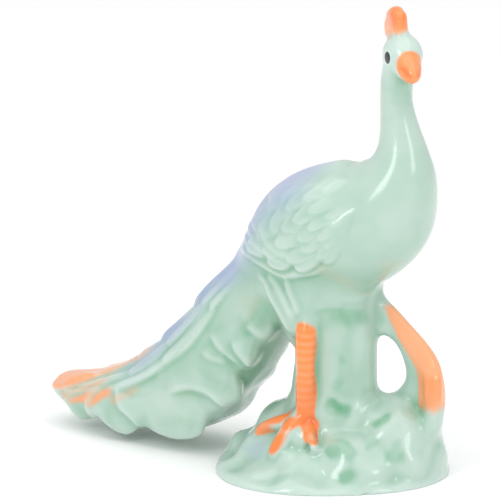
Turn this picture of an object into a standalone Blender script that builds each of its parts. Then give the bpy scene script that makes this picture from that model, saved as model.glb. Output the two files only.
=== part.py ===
"""Peacock figurine: one glazed ceramic casting of a peacock standing on a rock.

The bird faces +X, its train falls away to -X, its right side faces -Y and +Z is up.
The origin is the middle of the rock's flat underside.
The free form is laid out in parts, of which the figurine is 160 high."""

import math

import bmesh
import bpy
import numpy as np
from mathutils import Matrix, Vector, noise

HEIGHT = 0.160  # underside to the top of the crest, in metres
PART = HEIGHT / 160  # one part of the canon that every station below is given in
VOXEL = 0.9  # grain of the skin that fuses the limbs, in parts
SOFTENING = 24  # passes that round the joins
FINISHING = 4  # passes that round the carved feathers
TRIANGLES = 10500  # the skin is thinned to about this many
WELD = 0.000125 * HEIGHT  # points closer than this are one

GLAZE = (0.49, 0.68, 0.59, 1.0)
GLAZE_ROUGHNESS = 0.12


def between(rows, t):
    """The row at t from 0 to 1 along a table of stations, on a smooth curve through them."""
    table = np.array(rows, float)
    last = len(table) - 1
    s = min(max(t, 0.0), 1.0) * last
    i = min(int(s), last - 1)
    f = s - i
    p1, p2 = table[i], table[i + 1]
    p0 = table[i - 1] if i > 0 else 2 * p1 - p2
    p3 = table[i + 2] if i + 2 <= last else 2 * p2 - p1
    bend = 2 * p0 - 5 * p1 + 4 * p2 - p3
    twist = 3 * p1 - p0 - 3 * p2 + p3
    return 0.5 * (2 * p1 + (p2 - p0) * f + bend * f**2 + twist * f**3)


def dome(t, first, last):
    """How full the section is at t, where the two ends are rounded over these shares of the length."""
    full = 1.0
    if t < first:
        full = math.sqrt(max(0.0, 1 - (1 - t / first) ** 2))
    if 1 - t < last:
        full = min(full, math.sqrt(max(0.0, 1 - (1 - (1 - t) / last) ** 2)))
    return full


def stretch_ball(form, place, around, along):
    """Adds a ball whose poles are the ends of a limb; place(t, angle) says where each point goes."""
    ball = bmesh.ops.create_uvsphere(form, u_segments=around, v_segments=along, radius=1.0)
    for vert in ball["verts"]:
        x, y, z = vert.co
        t = math.acos(max(-1.0, min(1.0, -z))) / math.pi
        vert.co = place(t, math.atan2(y, x))
    return ball["verts"]


def limb(form, stations, side=(0, 1, 0), ends=(0.12, 0.12), around=28, along=36):
    """A limb along stations of x, y, z, half width along side and half depth across it."""

    def place(t, angle):
        row = between(stations, t)
        ahead, behind = between(stations, t + 0.01), between(stations, t - 0.01)
        run = Vector(ahead[:3] - behind[:3]).normalized()
        depth = run.cross(Vector(side)).normalized()
        across = depth.cross(run)
        out = across * (math.cos(angle) * row[3]) + depth * (math.sin(angle) * row[4])
        return Vector(row[:3]) + out * dome(t, *ends)

    return stretch_ball(form, place, around, along)


def boulder(form, centre, half, turn=0.0):
    """A rounded lump with these half sizes, turned about the vertical by so many degrees."""
    ball = bmesh.ops.create_icosphere(form, subdivisions=4, radius=1.0)
    place = Matrix.Translation(centre) @ Matrix.Rotation(math.radians(turn), 4, "Z")
    bmesh.ops.transform(form, matrix=place @ Matrix.Diagonal((*half, 1.0)), verts=ball["verts"])


# Stations along the body, from the rump to the nape: x, y, z, half width, half depth.
BODY = (
    (-44, 0, 55, 4, 4.5),
    (-34, 0, 61.5, 7.5, 7.6),
    (-21, 0, 71.5, 13.5, 14.4),
    (-7.5, 0, 80, 18.2, 20.8),
    (8, 0, 85, 20, 22),
    (19.5, 0, 92, 18.5, 19.3),
    (26, 0, 103, 13.5, 13.8),
    (27.3, 0, 112, 8.8, 9.0),
    (26, 0, 121, 6.4, 6.4),
    (24.8, 0, 130, 5.4, 5.4),
    (25.5, 0, 138, 5.6, 5.6),
    (27, 0, 146, 4.5, 4.5),
)
# Stations along the train: x and z of the ridge, x and z of the keel, half width.
TRAIN = (
    (-14, 89, 4, 58, 11),
    (-32, 72.5, -14, 48, 12.5),
    (-43.5, 61, -21.5, 37, 14),
    (-53, 49.5, -31, 23, 15),
    (-63.2, 38.5, -41.5, 11, 16.5),
    (-74.5, 28.8, -56, 5.0, 17),
    (-88, 21.5, -77, 4.4, 16),
    (-101, 17, -94, 5.0, 13.5),
    (-115.5, 14.3, -110, 8.8, 10),
)
# Hanging feathers of the train, from the body to the tail end: root x, y, z, tip x, y, z, half width.
LOBES = (
    (-30, -10, 61, -18.5, -10.5, 42.5, 5.5),
    (-36, -12, 56, -25.0, -11.5, 32.5, 6.5),
    (-46, -13, 44, -33.5, -11.5, 17.0, 9.0),
    (-55, -13, 34, -56.0, -14, 3.3, 14.5),
    (-73, -12, 22, -82.0, -14, 3.2, 10.0),
    (-86, -9, 17, -102.5, -10, 7.0, 8.0),
)
# Stations down the legs and thighs: x, y, z, half width, half depth.
RIGHT_THIGH = ((-2, -11.5, 48, 4, 4), (-3, -11, 56, 5, 6), (-4, -9.5, 64, 7, 9), (-3, -8, 74, 8, 12))
RIGHT_LEG = (
    (-0.8, -15.4, 17, 3.7, 3.7),
    (-0.8, -15.4, 30, 3.6, 3.6),
    (-0.8, -15.4, 46, 3.6, 3.6),
    (-0.6, -11, 62, 3.0, 3.6),
)
LEFT_THIGH = ((11, 7, 53, 4, 4), (8, 8, 58, 5, 6), (6, 9, 66, 7, 8), (3, 9, 74, 8, 10))
LEFT_LEG = (
    (10, 6, 60, 3.4, 3.4),
    (17, 7, 55.5, 3.3, 3.3),
    (24, 7.5, 50, 3.0, 3.0),
    (30, 8, 44.5, 3.2, 3.2),
    (34.2, 8, 38, 3.8, 3.8),
    (35.2, 8, 30, 4.0, 3.8),
    (35.0, 8, 21, 4.0, 3.5),
    (34.8, 8, 12, 4.0, 3.6),
)
# Toes of the left foot, closed together down the front of the leg.
LEFT_TOES = (
    ((35.6, 5.9, 38, 1.0, 1.0), (37.1, 5.0, 31, 1.6, 1.4), (36.8, 5.0, 21, 1.7, 1.4)),
    ((35.6, 8.1, 38, 1.0, 1.0), (37.1, 8.2, 31, 1.6, 1.4), (36.8, 8.2, 21, 1.7, 1.4)),
    ((35.6, 10.1, 38, 1.0, 1.0), (37.1, 11.0, 31, 1.6, 1.4), (36.8, 11.0, 21, 1.7, 1.4)),
)
LEG_WEB = ((13, 5, 52, 4, 3), (21, 7, 48, 3, 3), (26, 8, 42, 3, 4), (29, 9, 33, 3, 6), (27, 9, 23, 3, 10))
RIGHT_FOOT = (-1, -14, 19)  # where the toes of the right foot meet
RIGHT_TOES = (
    ((*RIGHT_FOOT, 3.2, 3.2), (-8, -15.5, 18.5, 2.8, 2.8), (-14, -15.5, 16, 2.4, 2.4), (-20, -15, 12, 1.6, 1.6)),
    ((*RIGHT_FOOT, 3.4, 3.4), (-2.5, -19, 18, 3.2, 3.2), (-5, -22.5, 13.5, 3, 3), (-8.5, -24.5, 8, 2.5, 2.5)),
    ((*RIGHT_FOOT, 2.8, 2.8), (0.5, -18.5, 17.5, 2.4, 2.4), (1.4, -20.6, 15, 2.2, 2.2), (2, -22, 11.5, 1.7, 1.7)),
    ((*RIGHT_FOOT, 2.8, 2.8), (3, -17.5, 18, 2.4, 2.4), (6, -20.5, 15.5, 2.3, 2.3), (8.6, -22.5, 11.5, 1.7, 1.7)),
)
# Loose feathers that fall from the hip to the stump.
HIP_PLUMES = (
    ((-22, -11, 66, 2.5, 2.5), (-15, -12.5, 60, 3.0, 3.0), (-10, -13, 53, 2.6, 2.6), (-8, -12, 44, 1.6, 1.6)),
    ((-17, -13, 67, 2.0, 2.0), (-11, -14.5, 61, 2.6, 2.6), (-6.5, -15, 54, 2.2, 2.2), (-5, -14, 46, 1.4, 1.4)),
    ((-14, -8, 60, 5.0, 5.0), (-11, -8, 54, 5.0, 5.0), (-9, -8, 48, 4.0, 4.0), (-7, -8, 42, 3.0, 3.0)),
)
# Stations up the stump: x, y, z, half width, half depth.
STUMP = (
    (2, 0, 5, 20, 21),
    (1.5, 0, 18, 16.5, 18),
    (1.5, 0, 30, 12.5, 15),
    (2.5, 0, 42, 11.5, 14.3),
    (3, 0, 54, 12, 12.8),
    (2, 0, 62, 13.5, 13.5),
    (2, 0, 72, 15, 14.5),
)
# Lumps of the rock: centre, half sizes, turn about the vertical in degrees.
BOULDERS = (
    ((-4, -3, 2), (29, 21, 14.5), 20),
    ((-12, 0, 6), (19, 13, 17.5), 0),
    ((-24, -4, 3), (13, 13, 10), 0),
    ((20, 6.5, 6), (17.4, 17.5, 21.5), 10),
    ((23, 4, 2), (13, 17, 14), 30),
    ((8, -8, 3), (24, 15, 15), 0),
    ((14, -15, 1), (16, 10, 11), 15),
    ((13, 3, 12), (15, 13, 16), 0),
    ((0, -15, 3), (15, 12, 10.5), 0),
)
SLAB = (39.5, 34.0)  # half sizes of the rock's foot
SLAB_SQUARENESS = 2.3  # 2 is an ellipse, and more is squarer
SLAB_TURN = 40  # about the vertical, in degrees
SLAB_LEVELS = (-5, 8)  # lowest and highest point; the base cuts it off at 0

HEAD = Vector((27.6, -0.6, 144.6))
HEAD_TURN = -38.5  # the head looks to the bird's right by this many degrees
SKULL = (7.6, 6.8, 7.2)  # half length, half width, half height
BEAK_ROOT = (2.5, -1.8)  # ahead of the middle of the head, and above it
BEAK_TIP = (13.8, -6.2)
BEAK_SECTIONS = ((4.5, 4.6, 3.5, 1.7), (4.8, 4.6, 3.4, 1.9))
CREST_SHIFT = -0.8  # towards the left cheek
# Plumes of the crest: foot ahead of the middle of the head, foot above it, lean ahead in degrees, length.
CREST_PLUMES = (
    (-3.3, 4.6, -70, 6.5),
    (-1.2, 5.2, -60, 10.2),
    (0.5, 5.5, -42, 12),
    (0.8, 5.5, -20, 11.6),
    (0.8, 5.5, 4, 10),
)
CREST_SECTIONS = ((2.4, 2.7, 2.9), (1.8, 2.4, 2.6))

LOBE_WIDTHS = (0.6, 0.95, 1.0, 1.0)  # shares of a hanging feather's half width, root to tip
LOBE_DEPTHS = (1.6, 2.6, 3.2, 3.2)
FAR_LOBES = (0.8, -3)  # on the bird's left they are this share as long, and rooted this much lower
KEEL_FULLNESS = 0.6  # below 1 the train is squarer underneath


def taper(root, tip, widths, depths):
    """Stations on a straight line from root to tip, one for each width and depth."""
    last = len(widths) - 1
    rows = []
    for i, (width, depth) in enumerate(zip(widths, depths)):
        p = Vector(root).lerp(Vector(tip), i / last)
        rows.append((p.x, p.y, p.z, width, depth))
    return rows


def bird(form):
    limb(form, BODY, ends=(0.06, 0.05), around=40, along=64)
    turn = math.radians(HEAD_TURN)
    face = Vector((math.cos(turn), math.sin(turn), 0))
    cheek = Vector((-face.y, face.x, 0))
    up = Vector((0, 0, 1))

    def at(ahead, above):
        return HEAD + face * ahead + up * above

    skull = bmesh.ops.create_icosphere(form, subdivisions=4, radius=1.0)
    long, wide, high = SKULL
    for vert in skull["verts"]:
        x, y, z = vert.co
        vert.co = at(x * long, z * high) + cheek * (y * wide)
    beak = taper(at(*BEAK_ROOT), at(*BEAK_TIP), *BEAK_SECTIONS)
    limb(form, beak, side=cheek, ends=(0.2, 0.25), around=20, along=20)
    for ahead, above, lean, reach in CREST_PLUMES:
        foot = at(ahead, above) + cheek * CREST_SHIFT
        a = math.radians(lean)
        top = foot + (face * math.sin(a) + up * math.cos(a)) * reach + cheek * CREST_SHIFT
        limb(form, taper(foot, top, *CREST_SECTIONS), side=cheek, ends=(0.1, 0.22), around=16, along=16)


def train(form):
    def place(t, angle):
        rx, rz, kx, kz, half = between(TRAIN, t)
        c, s = math.cos(angle), math.sin(angle)
        power = KEEL_FULLNESS if s < 0 else 1.0
        c = math.copysign(abs(c) ** power, c)
        full = dome(t, 0.06, 0.05)
        middle = Vector(((rx + kx) / 2, 0, (rz + kz) / 2))
        rise = Vector(((rx - kx) / 2, 0, (rz - kz) / 2))
        return middle + full * (rise * s + Vector((0, c * half, 0)))

    stretch_ball(form, place, 36, 60)
    for side in (1, -1):
        length, lower = (1.0, 0) if side == 1 else FAR_LOBES
        for x0, y0, z0, x1, y1, z1, half in LOBES:
            root = Vector((x0, y0 * side, z0 + lower))
            tip = root.lerp(Vector((x1, y1 * side, z1)), length)
            across = (tip - root).cross(Vector((0, -side, 0))).normalized()
            rows = taper(root, tip, [half * share for share in LOBE_WIDTHS], LOBE_DEPTHS)
            limb(form, rows, side=across, ends=(0.2, 0.24), around=24, along=28)


def legs(form):
    for thigh in (RIGHT_THIGH, LEFT_THIGH, LEG_WEB):
        limb(form, thigh, ends=(0.1, 0.1))
    limb(form, RIGHT_LEG, ends=(0.05, 0.05))
    limb(form, LEFT_LEG, ends=(0.05, 0.08))
    for rows in HIP_PLUMES:
        limb(form, rows, ends=(0.15, 0.15), around=16, along=24)
    for rows in LEFT_TOES:
        limb(form, rows, ends=(0.25, 0.15), around=16)
    for rows in RIGHT_TOES:
        limb(form, rows, side=(0, 0, 1), ends=(0.1, 0.12), around=16, along=20)


def rock(form):
    long, wide = SLAB
    bottom, top = SLAB_LEVELS
    turn = Matrix.Rotation(math.radians(SLAB_TURN), 3, "Z")

    def slab(t, angle):
        c, s = math.cos(angle), math.sin(angle)
        power = SLAB_SQUARENESS
        reach = (abs(c / long) ** power + abs(s / wide) ** power) ** (-1 / power) * dome(t, 0.3, 0.6)
        return turn @ Vector((reach * c, reach * s, bottom + (top - bottom) * t))

    stretch_ball(form, slab, 56, 30)
    for centre, half, angle in BOULDERS:
        boulder(form, centre, half, angle)
    limb(form, STUMP, ends=(0.1, 0.08), around=32)


def soften(points, edges, share, passes):
    """Draws each point towards the middle of its neighbours by its own share, as glaze rounds a casting."""
    count = np.bincount(edges.ravel(), minlength=len(points))[:, None]
    for _ in range(passes):
        total = np.zeros_like(points)
        np.add.at(total, edges[:, 0], points[edges[:, 1]])
        np.add.at(total, edges[:, 1], points[edges[:, 0]])
        points = points + share[:, None] * (total / count - points)
    return points


def ramp(value, low, high):
    """0 below low and 1 above high, smooth between them."""
    t = np.clip((value - low) / (high - low), 0, 1)
    return t * t * (3 - 2 * t)


# Wing: its feathers fan from the shoulder at x, z. The rim is given by angle in degrees, reach.
SHOULDER = (18, 97)
WING_RIM = (
    (-190, 36),
    (-172, 43),
    (-160, 50),
    (-151, 55),
    (-142, 49),
    (-130, 40),
    (-118, 32),
    (-104, 24),
    (-92, 19),
)
WING_ROWS = ((1.0, 5, 0.5), (0.8, 5, 0.0), (0.6, 4, 0.5), (0.4, 4, 0.0))
WING_LIFT = 1.7  # how far a feather's tip stands out
WING_RISE = 0.25  # share of the rim over which a feather rises to its tip
WING_DROOP = 0.09  # how much shorter a feather is at its sides


def wing(x, y, z):
    """Height of the wing's overlapping feathers: each row is share of the rim, feathers, shift."""
    dx, dz = x - SHOULDER[0], z - SHOULDER[1]
    angle = np.degrees(np.arctan2(dz, dx))
    angle = np.where(angle > 90, angle - 360, angle)
    rim = np.array(WING_RIM)
    reach = np.hypot(dx, dz) / np.interp(angle, rim[:, 0], rim[:, 1])
    first, last = rim[0, 0], rim[-1, 0]
    across = np.clip((angle - first) / (last - first), 0, 1)
    height = np.zeros_like(x)
    for share, count, shift in WING_ROWS:
        place = (across * count + shift) % 1 * 2 - 1
        tip = share - WING_DROOP * place**2
        rise = np.clip((reach - tip) / WING_RISE + 1, 0, 1)
        feather = WING_LIFT * (0.35 + 0.65 * rise) * (1 - 0.4 * place**4)
        height = np.where(reach < tip, feather, height)
    height *= ramp(reach, 0.05, 0.35)
    height *= ramp(angle, -190, -176) * ramp(-angle, 92, 106)
    return height * ramp(np.abs(y), 3, 7)


def train_place(x, z):
    """How far along the train a point lies, and how far from the ridge down to the keel."""
    best = np.full(len(x), 1e9)
    along = np.zeros(len(x))
    down = np.zeros(len(x))
    for step in range(161):
        rx, rz, kx, kz, _ = between(TRAIN, step / 160)
        length = math.hypot(kx - rx, kz - rz)
        ux, uz = (kx - rx) / length, (kz - rz) / length
        off = np.abs((x - rx) * uz - (z - rz) * ux)
        deep = ((x - rx) * ux + (z - rz) * uz) / length
        off = off + 20 * np.clip(np.abs(deep - 0.5) - 0.75, 0, None)
        nearer = off < best
        best = np.where(nearer, off, best)
        along = np.where(nearer, step / 160, along)
        down = np.where(nearer, deep, down)
    return along, down


# Long feathers along the ridge: where each band starts and ends across, and where its feathers end.
RIDGE_BANDS = (
    (-0.2, 0.12, (0.36, 0.52, 0.66, 1.1)),
    (0.12, 0.26, (0.45, 0.7, 1.1)),
    (0.26, 0.4, (0.55, 0.82, 1.1)),
)
RIDGE_START = 0.16  # share of the train at which they come out from under the wings


def ridge(x, y, z):
    """Height of the long feathers that lie along the back of the train."""
    along, down = train_place(x, z)
    height = np.zeros_like(x)
    for low, high, ends in RIDGE_BANDS:
        middle, half = (low + high) / 2, (high - low) / 2
        round_top = np.clip(1 - np.abs((down - middle) / half) ** 2.5, 0, 1)
        start = RIDGE_START
        for end in ends:
            inside = (along >= start) & (along < end) & (round_top > 0)
            rise = (along - start) / (end - start)
            height = np.where(inside, round_top * (0.5 + 0.9 * rise), height)
            start = end
    return height * ramp(along, RIDGE_START, 0.3) * ramp(-x, 22, 34)


ROCK_LUMP = (2.6, 0.085)  # height and closeness of the roughness of the rock
STUMP_FOLD = (0.6, 5)  # height and number of the folds round the stump
BELLY_CREASE = 0.4  # depth of the crease where the belly meets the stump


def rock_lumps(points):
    """Height of the rough surface of the rock and the folds of the stump."""
    x, y, z = points.T
    high, close = ROCK_LUMP
    lump = np.array([noise.noise(Vector(p) * close + Vector((3.1, 0.4, 7.7))) for p in points])
    fold_high, folds = STUMP_FOLD
    fold = np.sin(folds * np.arctan2(y, x - 2) + z * 0.05)
    low = ramp(-z, -27, -14) * ramp(z, 1, 5)
    stump = ramp(z, 20, 30) * ramp(-z, -56, -46) * ramp(x, -16, -11) * ramp(-x, -20, -16)
    return high * lump * low + fold_high * fold * stump


def carve(points, normals):
    """Raises the feathers and the roughness of the rock out of the smooth skin."""
    x, y, z = points.T
    height = wing(x, y, z) * ramp(z, 60, 66)
    height += ridge(x, y, z) * ramp(-x, 20, 30)
    crease = np.exp(-(((z - 59 + 0.012 * (x - 8) ** 2) / 1.5) ** 2))
    height -= BELLY_CREASE * crease * ramp(-y, 3, 9) * ramp(x, 0, 7)
    height += rock_lumps(points) * ramp(x, -45, -38) * (z < 58)
    return points + normals * (height * ramp(x, -125, -118))[:, None]


def skin(form):
    """One closed skin over every overlapping limb."""
    mesh = bpy.data.meshes.new("limbs")
    form.to_mesh(mesh)
    form.free()
    body = bpy.data.objects.new("limbs", mesh)
    bpy.context.scene.collection.objects.link(body)
    fuse = body.modifiers.new("fuse", "REMESH")
    fuse.mode = "VOXEL"
    fuse.voxel_size = VOXEL
    graph = bpy.context.evaluated_depsgraph_get()
    fused = bpy.data.meshes.new_from_object(body.evaluated_get(graph))
    bpy.data.objects.remove(body)
    bpy.data.meshes.remove(mesh)
    points = np.empty(len(fused.vertices) * 3)
    fused.vertices.foreach_get("co", points)
    points = points.reshape(-1, 3)
    edges = np.empty(len(fused.edges) * 2, int)
    fused.edges.foreach_get("vertices", edges)
    edges = edges.reshape(-1, 2)
    x, y, z = points.T
    # the joins of body, stump and rock run together, and small parts keep their shape
    trunk = ramp(z, 20, 34) * ramp(-z, -112, -96) * ramp(x, -34, -22)
    leg_x, leg_y = RIGHT_LEG[0][:2]
    leg = ramp(-np.hypot(x - leg_x, y - leg_y), -6.5, -4.5) * ramp(-z, -56, -50)
    points = soften(points, edges, 0.06 + 0.42 * trunk * (1 - leg), SOFTENING)
    fused.vertices.foreach_set("co", points.ravel())
    fused.update()
    normals = np.empty(len(points) * 3)
    fused.vertices.foreach_get("normal", normals)
    points = carve(points, normals.reshape(-1, 3))
    on_train = ramp(-x, 26, 40)
    on_body = ramp(z, 58, 66) * ramp(-z, -132, -120)
    on_crest = ramp(z, 149, 152)
    points = soften(points, edges, np.maximum(0.32 * on_train, 0.08 * on_body) + 0.4 * on_crest, FINISHING)
    fused.vertices.foreach_set("co", points.ravel())
    fused.update()
    return fused


def thin(mesh):
    """The same skin in fewer facets, fewest where it is smooth."""
    body = bpy.data.objects.new("skin", mesh)
    bpy.context.scene.collection.objects.link(body)
    facets = sum(len(face.vertices) - 2 for face in mesh.polygons)
    fewer = body.modifiers.new("fewer", "DECIMATE")
    fewer.ratio = TRIANGLES / facets
    graph = bpy.context.evaluated_depsgraph_get()
    thinned = bpy.data.meshes.new_from_object(body.evaluated_get(graph))
    bpy.data.objects.remove(body)
    bpy.data.meshes.remove(mesh)
    return thinned


def main():
    for old in list(bpy.data.objects):
        bpy.data.objects.remove(old)
    form = bmesh.new()
    bird(form)
    train(form)
    legs(form)
    rock(form)
    mesh = thin(skin(form))
    solid = bmesh.new()
    solid.from_mesh(mesh)
    parts = solid.verts[:] + solid.edges[:] + solid.faces[:]
    cut = bmesh.ops.bisect_plane(solid, geom=parts, plane_co=(0, 0, 0), plane_no=(0, 0, 1), clear_inner=True)
    rim = [part for part in cut["geom_cut"] if isinstance(part, bmesh.types.BMEdge)]
    bmesh.ops.contextual_create(solid, geom=rim)
    bmesh.ops.scale(solid, vec=(PART, PART, PART), verts=solid.verts)
    bmesh.ops.remove_doubles(solid, verts=solid.verts, dist=WELD)
    bmesh.ops.triangulate(solid, faces=solid.faces)
    bmesh.ops.recalc_face_normals(solid, faces=solid.faces)
    solid.to_mesh(mesh)
    solid.free()
    mesh.name = "peacock"
    peacock = bpy.data.objects.new("peacock", mesh)
    bpy.context.scene.collection.objects.link(peacock)
    glaze = bpy.data.materials.new("glaze")
    glaze.use_nodes = True
    shader = glaze.node_tree.nodes["Principled BSDF"]
    shader.inputs["Base Color"].default_value = GLAZE
    shader.inputs["Roughness"].default_value = GLAZE_ROUGHNESS
    mesh.materials.append(glaze)
    mesh.shade_smooth()


main()
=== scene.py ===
"""Glazed peacock figurine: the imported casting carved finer, painted and glazed, on a plain stage.

The bird faces +X, its right side faces -Y and +Z is up. Lengths in the tables are parts, of which
the figurine is 160 high, and lines on its sides are given by x and z alone, for both sides at once."""

import math

import bmesh
import bpy
import numpy as np
from bpy.props import FloatProperty, FloatVectorProperty, IntProperty, PointerProperty
from mathutils import Matrix, Vector, noise


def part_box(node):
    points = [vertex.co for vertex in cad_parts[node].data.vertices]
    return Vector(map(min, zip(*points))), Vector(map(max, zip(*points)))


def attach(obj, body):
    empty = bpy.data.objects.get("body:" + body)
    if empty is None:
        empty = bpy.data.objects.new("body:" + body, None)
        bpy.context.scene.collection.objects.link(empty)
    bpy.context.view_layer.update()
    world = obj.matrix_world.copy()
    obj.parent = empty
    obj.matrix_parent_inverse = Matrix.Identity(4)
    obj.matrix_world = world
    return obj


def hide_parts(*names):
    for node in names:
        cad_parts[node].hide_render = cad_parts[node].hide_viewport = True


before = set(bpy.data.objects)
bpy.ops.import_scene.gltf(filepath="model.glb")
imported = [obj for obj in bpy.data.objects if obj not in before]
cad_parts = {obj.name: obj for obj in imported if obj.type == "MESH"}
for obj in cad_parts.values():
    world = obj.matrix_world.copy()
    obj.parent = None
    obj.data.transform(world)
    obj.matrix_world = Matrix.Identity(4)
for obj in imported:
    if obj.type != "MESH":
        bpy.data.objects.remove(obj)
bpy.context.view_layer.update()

bl_info = {
    "name": "Peacock figurine",
    "version": (1, 0, 0),
    "blender": (4, 5, 0),
    "location": "View3D > Sidebar > Figurine",
    "description": "Carves, paints and glazes the casting and sets up its stage",
    "category": "Object",
}

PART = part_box("peacock")[1][2] / 160.3  # metres in one part
SHOWN_FROM = 35  # degrees from the bird's right side, round to its front, that the picture is seen from


def tint(red, green, blue):
    """A linear colour from display values of 0 to 255."""
    shares = [value / 255 for value in (red, green, blue)]
    return tuple(s / 12.92 if s <= 0.04045 else ((s + 0.055) / 1.055) ** 2.4 for s in shares) + (1.0,)


def colour(name, description, red, green, blue):
    """A colour that the panel shows, from display values of 0 to 255."""
    return FloatVectorProperty(
        name=name,
        description=description,
        default=tint(red, green, blue),
        subtype="COLOR",
        size=4,
        min=0,
        max=1,
    )


def length(name, description, parts):
    """A length that the panel shows, given in parts."""
    return FloatProperty(
        name=name,
        description=description,
        default=parts * PART,
        unit="LENGTH",
        subtype="DISTANCE",
        precision=5,
    )


def angle(name, description, degrees):
    """An angle that the panel shows, given in degrees."""
    return FloatProperty(name=name, description=description, default=math.radians(degrees), subtype="ANGLE")


class CastingSizes(bpy.types.PropertyGroup):
    grain: length("Grain", "Spacing of the points of the fine skin", 0.7)
    wing_lift: length("Wing feathers", "How far the tip of a wing feather stands out", 1.8)
    hem_lift: length("Train feathers", "How far the hem of a hanging feather stands out", 1.1)
    ridge_lift: length("Ridge feathers", "How far a long feather on the train's ridge stands out", 0.9)
    ring_pitch: length("Leg rings", "Spacing of the rings round the right leg", 2.6)
    lump_height: length("Rock lumps", "Height of the small lumps of the rock", 0.5)
    softness: IntProperty(name="Softness", description="How far the glaze rounds off the carving", default=3)


class GlazeColours(bpy.types.PropertyGroup):
    green: colour("Green", "The thin green glaze on the smooth parts", 179, 204, 191)
    # Also the colour of the painted shade at the feet of feathers and on the undersides.
    pooled_and_shade: colour("Pooled green", "The glaze where it runs together in hollows", 96, 164, 124)
    thin: colour("Thin glaze", "The body showing at raised edges", 210, 226, 220)
    lavender: colour("Lavender", "Sprayed on the back and the rump", 168, 176, 214)
    blue: colour("Blue", "Sprayed along the ridge of the train", 136, 160, 196)
    orange: colour("Orange", "Beak, crest, legs and tail end", 248, 138, 60)
    deep_orange: colour("Deep orange", "The orange where it lies thick", 236, 112, 44)
    pale_orange: colour("Pale orange", "The orange where it is wiped thin", 244, 184, 140)
    scuff: colour("Warm tint", "Faint traces of orange dust in the green", 214, 190, 160)
    eye: colour("Eye", "Painted pupils", 34, 36, 42)
    biscuit: colour("Biscuit", "The bare clay under the foot", 232, 226, 214)


class StageSettings(bpy.types.PropertyGroup):
    floor_size: FloatProperty(
        name="Floor",
        description="Width of the floor",
        default=12.0,
        unit="LENGTH",
        subtype="DISTANCE",
    )
    floor_colour: colour("Floor colour", "A plain pale floor", 253, 253, 253)
    view_turn: angle("Turn", "Camera's angle about the object", SHOWN_FROM)
    view_height: angle("Height", "Camera's angle above the floor", 14)
    view_distance: FloatProperty(
        name="Distance",
        description="Camera to the object",
        default=2.0,
        unit="LENGTH",
        subtype="DISTANCE",
    )
    box_power: FloatProperty(name="Soft boxes", description="Power of each soft box in watts", default=0.9)
    sky: FloatProperty(name="Surroundings", description="Strength of the white surroundings", default=0.76)
    sides: IntProperty(name="Floor sides", description="Corners of the round floor", default=64)


# Stations as in the casting. Train: x and z of the ridge, x and z of the keel.
TRAIN = (
    (-14, 89, 4, 58),
    (-32, 72.5, -14, 48),
    (-43.5, 61, -21.5, 37),
    (-53, 49.5, -31, 23),
    (-63.2, 38.5, -41.5, 11),
    (-74.5, 28.8, -56, 5.0),
    (-88, 21.5, -77, 4.4),
    (-101, 17, -94, 5.0),
    (-115.5, 14.3, -110, 8.8),
)
SHOULDER = (22, 102)
# Angle about the shoulder and reach of the wing's rim.
WING_RIM = (
    (-182, 39.4),
    (-167, 47.9),
    (-157, 55.6),
    (-149, 61),
    (-140, 55.3),
    (-130, 46.4),
    (-120, 38.3),
    (-109, 29.9),
    (-101, 24.5),
)
# Each row's place on the way from shoulder to rim, its feathers across the wing, and its shift.
WING_ROWS = ((0.87, 7, 0.5), (0.76, 7, 0), (0.65, 6, 0.5), (0.54, 6, 0), (0.43, 5, 0.5), (0.33, 4, 0))
# Bands of long feathers from the train's ridge downwards, and how far along it each feather ends.
RIDGE_START = 0.12
RIDGE_BANDS = (
    (-0.2, 0.11, (0.36, 0.52, 0.62, 0.78, 1.1)),
    (0.11, 0.21, (0.3, 0.47, 0.64, 0.84, 1.1)),
    (0.21, 0.31, (0.28, 0.5, 0.72, 0.9, 1.1)),
)
HEAD = np.array((27.6, -0.6, 144.6))
FACE = np.array((0.783, -0.623, 0.0))  # the way the beak points
CHEEK = np.array((0.623, 0.783, 0.0))  # the way from the right eye to the left one
BEAK_ROOT = (0.1, -1.9, 4.2, 4.1)  # middle across and up from the head, half width and half height
MOUTH = ((7, -2.0), (10, -3.0), (12.3, -4.6), (13.6, -5.7))  # ahead and up from the head
CREST = ((26.5, -1.8, 153.5), (24.5, -1, 156), (27, -1.5, 158))
RIGHT_LEG = (-0.8, -15.4)  # x and y of its middle
RIGHT_TOES = (
    ((-1, -14, 19), (-8, -15.5, 18.5), (-14, -15.5, 16), (-17.5, -15.2, 13.6)),
    ((-1, -14, 19), (-2.5, -19, 18), (-5, -22.5, 13.5), (-7.6, -24.2, 9.6)),
    ((-1, -14, 19), (3, -17.5, 18), (6.4, -21.2, 14.8), (7, -21.8, 13.2)),
)
LEFT_LEG = ((16, 7, 56.5), (24, 7.5, 50), (30, 8, 44.5), (34.2, 8, 38), (35.2, 8, 30), (35, 8, 21))
LEFT_LEG_RIM = (
    (13, 61),
    (17.7, 56.5),
    (20, 53.1),
    (22.6, 48.3),
    (25.4, 43.5),
    (28.8, 38.8),
    (30.2, 33.9),
    (30.4, 24),
)
LEFT_CLAWS = (
    ((33.2, 4.0, 37), (34.2, 4.0, 33), (34.4, 3.6, 26)),
    ((36.4, 4.2, 37.5), (37.0, 4.2, 33), (37.4, 3.8, 25.5)),
    ((38.0, 6.6, 37), (38.8, 6.4, 33), (39.2, 6.4, 26)),
)
# Top of the back and the train, as x, z.
DORSAL = (
    (16, 110),
    (4, 106),
    (-8, 103),
    (-20, 96),
    (-28, 87),
    (-37, 72),
    (-48, 57),
    (-60, 43),
    (-74, 30),
    (-88, 22),
)
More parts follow.
